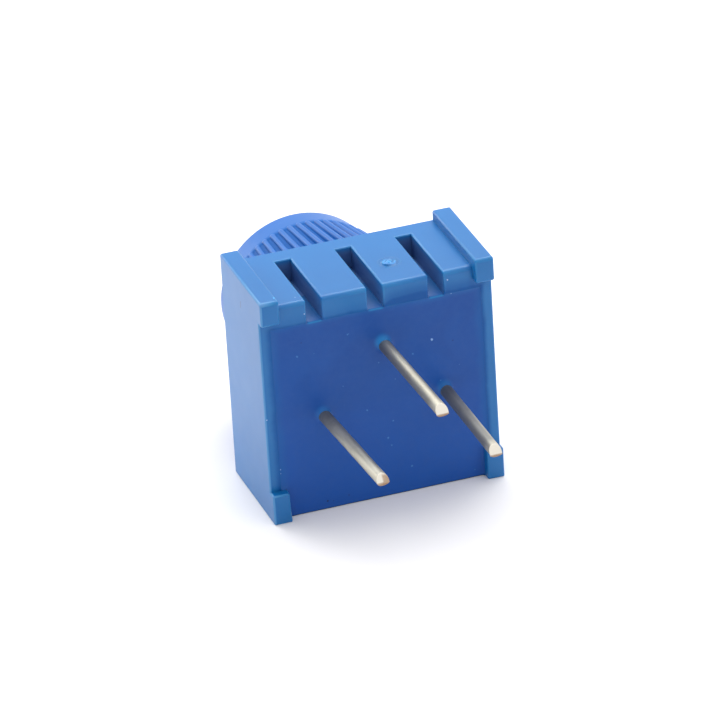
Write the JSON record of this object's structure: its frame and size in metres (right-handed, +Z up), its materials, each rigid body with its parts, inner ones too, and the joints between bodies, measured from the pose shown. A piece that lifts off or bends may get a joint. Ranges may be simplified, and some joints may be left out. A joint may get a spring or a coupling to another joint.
{
  "type": "trimmer potentiometer",
  "caption": "Square single-turn trimmer potentiometer with a flared, ribbed finger knob, slotted upper wall, potted back and round wire terminals.",
  "frame": {"origin": "under the middle of the whole part's length and width, on the plane it rests on as it lies on its side", "axes": "+Y from the terminals to the knob along the turning axis, +Z up (across the body, away from the side it rests on), +X to the right seen from the terminal side"},
  "size_m": [0.0096, 0.0162, 0.0097],
  "materials": {
    "housing_plastic": "satin moulded thermoplastic, mid blue",
    "knob_plastic": "satin moulded thermoplastic, slightly more violet blue",
    "potting_epoxy": "dark blue cast epoxy with a soft sheen",
    "tinned_copper": "hot-dipped tin over copper wire, copper bare on the cut tips",
    "solder": "bright solder",
    "conductor_ink": "fired silver-palladium ink",
    "resistive_ink": "fired cermet ink, smooth black",
    "alumina": "unglazed white alumina",
    "rotor_plastic": "natural thermoplastic",
    "seal_rubber": "black silicone",
    "contact_spring": "bright spring alloy"
  },
  "bodies": {
    "base": {"housing": "housing_plastic", "potting": "potting_epoxy", "element_substrate": "alumina", "resistive_track": "resistive_ink", "collector_track": "conductor_ink", "end_conductor_1": "conductor_ink", "end_conductor_3": "conductor_ink", "back_pad_1": "conductor_ink", "back_pad_2": "conductor_ink", "back_pad_3": "conductor_ink", "solder_1": "solder", "solder_2": "solder", "solder_3": "solder", "terminal_1": "tinned_copper", "terminal_2": "tinned_copper", "terminal_3": "tinned_copper"},
    "adjuster": {"knob": "knob_plastic", "rotor": "rotor_plastic", "o_ring": "seal_rubber", "wiper": "contact_spring"}
  },
  "joints": [
    {"name": "adjuster_turn", "type": "hinge", "parent": "base", "child": "adjuster", "pos_m": [0, 0.00266, 0.00466], "axis": [0, 1, 0], "range_deg": [-155, 155]}
  ]
}
